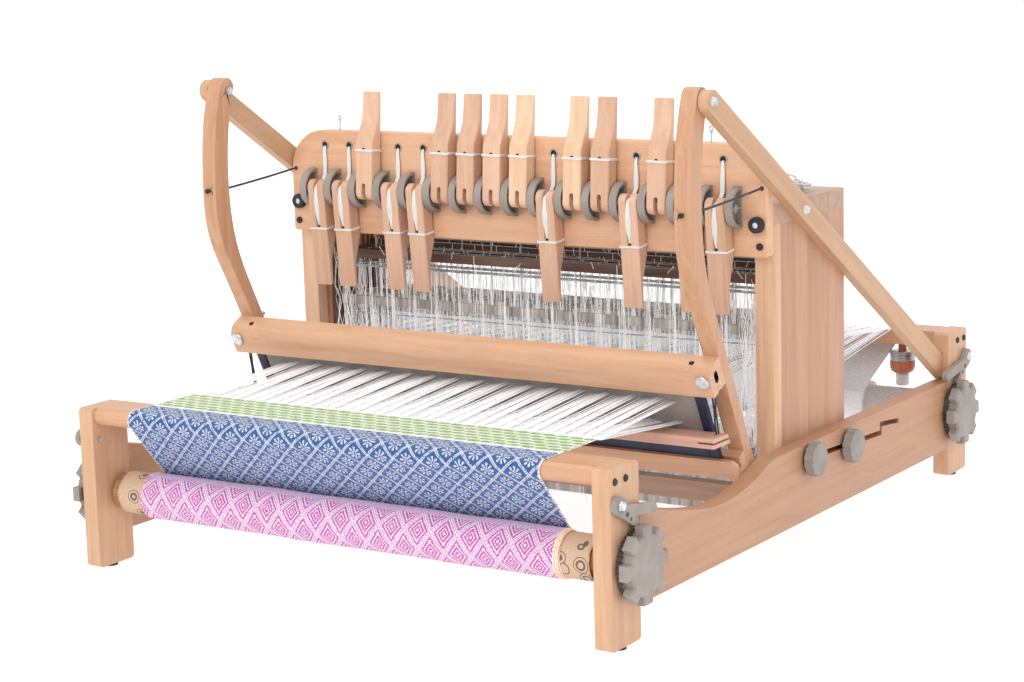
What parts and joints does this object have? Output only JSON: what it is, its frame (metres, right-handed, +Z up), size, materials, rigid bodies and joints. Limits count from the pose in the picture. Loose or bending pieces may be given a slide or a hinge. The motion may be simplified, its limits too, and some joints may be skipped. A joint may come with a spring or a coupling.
{
  "type": "table loom",
  "caption": "Wooden table loom with upright levers that lift heddle frames in a castle, a hanging beater with its reed, ratchet-held cloth and warp beams, braces and a patterned web",
  "frame": {"origin": "centre of the loom's footprint on the table", "axes": "+X runs along the beams, -Y is the weaver's side, +Z is up"},
  "size_m": [0.823, 1.0067, 0.608],
  "materials": {
    "beech": "oiled light hardwood with fine straight grain",
    "beech_dark": "oiled reddish hardwood",
    "race_wood": "smooth salmon-pink hardwood",
    "beam_wood": "turned wood",
    "heddle_frame_wood": "thin dark-brown bars",
    "steel": "zinc-plated screws and bolts",
    "reed_steel": "fine steel wires bound in dark blue strips",
    "moulded_grey": "moulded taupe plastic",
    "black_rubber": "matt black rubber",
    "black_cord": "braided elastic cord",
    "white_cord": "braided white cord",
    "woven_cloth": "blue and white patterned handwoven cloth",
    "warp_yarn": "fine white cotton yarn"
  },
  "bodies": {
    "frame": {"legs": "beech", "side_rails": "beech", "breast_and_back_beam": "beech", "braces": "beech", "castle_frame": "beech_dark", "lever_board": "beech_dark", "lever_brackets": "moulded_grey", "fasteners": "steel", "rubber_pads": "black_rubber", "woven_cloth": "woven_cloth", "warp_sheet": "warp_yarn", "lift_cords": "white_cord"},
    "beater": {"beater_swords": "beech", "beater_rails": "beech_dark", "beater_bolts": "steel", "reed": "reed_steel", "elastic_cords": "black_cord"},
    "shuttle_race": {"shuttle_race": "race_wood"},
    "cloth_beam": {"cloth_beam": "beam_wood", "cloth_beam_wheels": "moulded_grey", "cloth_roll": "woven_cloth"},
    "warp_beam": {"warp_beam": "beam_wood", "warp_beam_wheels": "moulded_grey"},
    "front_pawls": {"front_pawls": "moulded_grey"},
    "back_pawls": {"back_pawls": "moulded_grey"},
    "front_knobs": {"front_knobs": "moulded_grey"},
    "rear_knobs": {"rear_knobs": "moulded_grey"},
    "selvedge_weight": {"selvedge_weight": "beam_wood"},
    "lever_01": {"lever_01": "beech_dark"},
    "shaft_01": {"shaft_01": "heddle_frame_wood"},
    "lever_02": {"lever_02": "beech_dark"},
    "shaft_02": {"shaft_02": "heddle_frame_wood"},
    "lever_03": {"lever_03": "beech_dark"},
    "shaft_03": {"shaft_03": "heddle_frame_wood"},
    "lever_04": {"lever_04": "beech_dark"},
    "shaft_04": {"shaft_04": "heddle_frame_wood"},
    "lever_05": {"lever_05": "beech_dark"},
    "shaft_05": {"shaft_05": "heddle_frame_wood"},
    "lever_06": {"lever_06": "beech_dark"},
    "shaft_06": {"shaft_06": "heddle_frame_wood"},
    "lever_07": {"lever_07": "beech_dark"},
    "shaft_07": {"shaft_07": "heddle_frame_wood"},
    "lever_08": {"lever_08": "beech_dark"},
    "shaft_08": {"shaft_08": "heddle_frame_wood"},
    "lever_09": {"lever_09": "beech_dark"},
    "shaft_09": {"shaft_09": "heddle_frame_wood"},
    "lever_10": {"lever_10": "beech_dark"},
    "shaft_10": {"shaft_10": "heddle_frame_wood"},
    "lever_11": {"lever_11": "beech_dark"},
    "shaft_11": {"shaft_11": "heddle_frame_wood"},
    "lever_12": {"lever_12": "beech_dark"},
    "shaft_12": {"shaft_12": "heddle_frame_wood"},
    "lever_13": {"lever_13": "beech_dark"},
    "shaft_13": {"shaft_13": "heddle_frame_wood"},
    "lever_14": {"lever_14": "beech_dark"},
    "shaft_14": {"shaft_14": "heddle_frame_wood"},
    "lever_15": {"lever_15": "beech_dark"},
    "shaft_15": {"shaft_15": "heddle_frame_wood"},
    "lever_16": {"lever_16": "beech_dark"},
    "shaft_16": {"shaft_16": "heddle_frame_wood"}
  },
  "joints": [
    {"name": "beater_swing", "type": "hinge", "parent": "frame", "child": "beater", "pos_m": [0, -0.236, 0.591], "axis": [1, 0, 0], "range_deg": [-27.5, 4.5], "stiffness_Nm_per_rad": 6, "springref_deg": 8.59, "deforming": ["elastic_cords", "warp_sheet"]},
    {"name": "race_slide", "type": "slide", "parent": "beater", "child": "shuttle_race", "axis": [0, 0.4384, -0.8988], "range_m": [-0.0036, 0.022]},
    {"name": "cloth_beam_turn", "type": "hinge", "parent": "frame", "child": "cloth_beam", "pos_m": [0, -0.456, 0.096], "axis": [1, 0, 0], "continuous": true},
    {"name": "warp_beam_turn", "type": "hinge", "parent": "frame", "child": "warp_beam", "pos_m": [0, 0.456, 0.096], "axis": [1, 0, 0], "continuous": true},
    {"name": "front_pawls_lift", "type": "hinge", "parent": "frame", "child": "front_pawls", "pos_m": [0, -0.492, 0.17], "axis": [1, 0, 0], "range_deg": [0, 38]},
    {"name": "back_pawls_lift", "type": "hinge", "parent": "frame", "child": "back_pawls", "pos_m": [0, 0.492, 0.17], "axis": [1, 0, 0], "range_deg": [-38, 0]},
    {"name": "front_knobs_turn", "type": "hinge", "parent": "frame", "child": "front_knobs", "pos_m": [0, -0.011, 0.1235], "axis": [1, 0, 0], "continuous": true},
    {"name": "rear_knobs_turn", "type": "hinge", "parent": "frame", "child": "rear_knobs", "pos_m": [0, 0.101, 0.118], "axis": [1, 0, 0], "continuous": true},
    {"name": "weight_swing", "type": "hinge", "parent": "frame", "child": "selvedge_weight", "pos_m": [0.299, 0.485, 0.1885], "axis": [1, 0, 0], "range_deg": [-2, 25]},
    {"name": "lever_01_swing", "type": "hinge", "parent": "frame", "child": "lever_01", "pos_m": [-0.3075, -0.0935, 0.448], "axis": [1, 0, 0], "range_deg": [-189, 0], "deforming": ["lift_cords"]},
    {"name": "shaft_01_lift", "type": "slide", "parent": "frame", "child": "shaft_01", "axis": [0, 0, 1], "range_m": [-0.07, 0]},
    {"name": "lever_02_swing", "type": "hinge", "parent": "frame", "child": "lever_02", "pos_m": [-0.2665, -0.0935, 0.448], "axis": [1, 0, 0], "range_deg": [-189, 0]},
    {"name": "shaft_02_lift", "type": "slide", "parent": "frame", "child": "shaft_02", "axis": [0, 0, 1], "range_m": [-0.07, 0]},
    {"name": "lever_03_swing", "type": "hinge", "parent": "frame", "child": "lever_03", "pos_m": [-0.2255, -0.0935, 0.448], "axis": [1, 0, 0], "range_deg": [0, 189]},
    {"name": "shaft_03_lift", "type": "slide", "parent": "frame", "child": "shaft_03", "axis": [0, 0, 1], "range_m": [0, 0.07]},
    {"name": "lever_04_swing", "type": "hinge", "parent": "frame", "child": "lever_04", "pos_m": [-0.1845, -0.0935, 0.448], "axis": [1, 0, 0], "range_deg": [-189, 0]},
    {"name": "shaft_04_lift", "type": "slide", "parent": "frame", "child": "shaft_04", "axis": [0, 0, 1], "range_m": [-0.07, 0]},
    {"name": "lever_05_swing", "type": "hinge", "parent": "frame", "child": "lever_05", "pos_m": [-0.1435, -0.0935, 0.448], "axis": [1, 0, 0], "range_deg": [-189, 0]},
    {"name": "shaft_05_lift", "type": "slide", "parent": "frame", "child": "shaft_05", "axis": [0, 0, 1], "range_m": [-0.07, 0]},
    {"name": "lever_06_swing", "type": "hinge", "parent": "frame", "child": "lever_06", "pos_m": [-0.1025, -0.0935, 0.448], "axis": [1, 0, 0], "range_deg": [0, 189]},
    {"name": "shaft_06_lift", "type": "slide", "parent": "frame", "child": "shaft_06", "axis": [0, 0, 1], "range_m": [0, 0.07]},
    {"name": "lever_07_swing", "type": "hinge", "parent": "frame", "child": "lever_07", "pos_m": [-0.0615, -0.0935, 0.448], "axis": [1, 0, 0], "range_deg": [0, 189]},
    {"name": "shaft_07_lift", "type": "slide", "parent": "frame", "child": "shaft_07", "axis": [0, 0, 1], "range_m": [0, 0.07]},
    {"name": "lever_08_swing", "type": "hinge", "parent": "frame", "child": "lever_08", "pos_m": [-0.0205, -0.0935, 0.448], "axis": [1, 0, 0], "range_deg": [0, 189]},
    {"name": "shaft_08_lift", "type": "slide", "parent": "frame", "child": "shaft_08", "axis": [0, 0, 1], "range_m": [0, 0.07]},
    {"name": "lever_09_swing", "type": "hinge", "parent": "frame", "child": "lever_09", "pos_m": [0.0205, -0.0935, 0.448], "axis": [1, 0, 0], "range_deg": [0, 189]},
    {"name": "shaft_09_lift", "type": "slide", "parent": "frame", "child": "shaft_09", "axis": [0, 0, 1], "range_m": [0, 0.07]},
    {"name": "lever_10_swing", "type": "hinge", "parent": "frame", "child": "lever_10", "pos_m": [0.0615, -0.0935, 0.448], "axis": [1, 0, 0], "range_deg": [-189, 0]},
    {"name": "shaft_10_lift", "type": "slide", "parent": "frame", "child": "shaft_10", "axis": [0, 0, 1], "range_m": [-0.07, 0]},
    {"name": "lever_11_swing", "type": "hinge", "parent": "frame", "child": "lever_11", "pos_m": [0.1025, -0.0935, 0.448], "axis": [1, 0, 0], "range_deg": [0, 189]},
    {"name": "shaft_11_lift", "type": "slide", "parent": "frame", "child": "shaft_11", "axis": [0, 0, 1], "range_m": [0, 0.07]},
    {"name": "lever_12_swing", "type": "hinge", "parent": "frame", "child": "lever_12", "pos_m": [0.1435, -0.0935, 0.448], "axis": [1, 0, 0], "range_deg": [0, 189]},
    {"name": "shaft_12_lift", "type": "slide", "parent": "frame", "child": "shaft_12", "axis": [0, 0, 1], "range_m": [0, 0.07]},
    {"name": "lever_13_swing", "type": "hinge", "parent": "frame", "child": "lever_13", "pos_m": [0.1845, -0.0935, 0.448], "axis": [1, 0, 0], "range_deg": [-189, 0]},
    {"name": "shaft_13_lift", "type": "slide", "parent": "frame", "child": "shaft_13", "axis": [0, 0, 1], "range_m": [-0.07, 0]},
    {"name": "lever_14_swing", "type": "hinge", "parent": "frame", "child": "lever_14", "pos_m": [0.2255, -0.0935, 0.448], "axis": [1, 0, 0], "range_deg": [0, 189]},
    {"name": "shaft_14_lift", "type": "slide", "parent": "frame", "child": "shaft_14", "axis": [0, 0, 1], "range_m": [0, 0.07]},
    {"name": "lever_15_swing", "type": "hinge", "parent": "frame", "child": "lever_15", "pos_m": [0.2665, -0.0935, 0.448], "axis": [1, 0, 0], "range_deg": [-189, 0]},
    {"name": "shaft_15_lift", "type": "slide", "parent": "frame", "child": "shaft_15", "axis": [0, 0, 1], "range_m": [-0.07, 0]},
    {"name": "lever_16_swing", "type": "hinge", "parent": "frame", "child": "lever_16", "pos_m": [0.3075, -0.0935, 0.448], "axis": [1, 0, 0], "range_deg": [-189, 0]},
    {"name": "shaft_16_lift", "type": "slide", "parent": "frame", "child": "shaft_16", "axis": [0, 0, 1], "range_m": [-0.07, 0]}
  ],
  "couplings": [
    {"joint": "race_slide", "follows": "beater_swing", "m_per_rad": -0.0455},
    {"joint": "shaft_01_lift", "follows": "lever_01_swing", "m_per_rad": 0.0212},
    {"joint": "shaft_02_lift", "follows": "lever_02_swing", "m_per_rad": 0.0212},
    {"joint": "shaft_03_lift", "follows": "lever_03_swing", "m_per_rad": 0.0212},
    {"joint": "shaft_04_lift", "follows": "lever_04_swing", "m_per_rad": 0.0212},
    {"joint": "shaft_05_lift", "follows": "lever_05_swing", "m_per_rad": 0.0212},
    {"joint": "shaft_06_lift", "follows": "lever_06_swing", "m_per_rad": 0.0212},
    {"joint": "shaft_07_lift", "follows": "lever_07_swing", "m_per_rad": 0.0212},
    {"joint": "shaft_08_lift", "follows": "lever_08_swing", "m_per_rad": 0.0212},
    {"joint": "shaft_09_lift", "follows": "lever_09_swing", "m_per_rad": 0.0212},
    {"joint": "shaft_10_lift", "follows": "lever_10_swing", "m_per_rad": 0.0212},
    {"joint": "shaft_11_lift", "follows": "lever_11_swing", "m_per_rad": 0.0212},
    {"joint": "shaft_12_lift", "follows": "lever_12_swing", "m_per_rad": 0.0212},
    {"joint": "shaft_13_lift", "follows": "lever_13_swing", "m_per_rad": 0.0212},
    {"joint": "shaft_14_lift", "follows": "lever_14_swing", "m_per_rad": 0.0212},
    {"joint": "shaft_15_lift", "follows": "lever_15_swing", "m_per_rad": 0.0212},
    {"joint": "shaft_16_lift", "follows": "lever_16_swing", "m_per_rad": 0.0212}
  ]
}
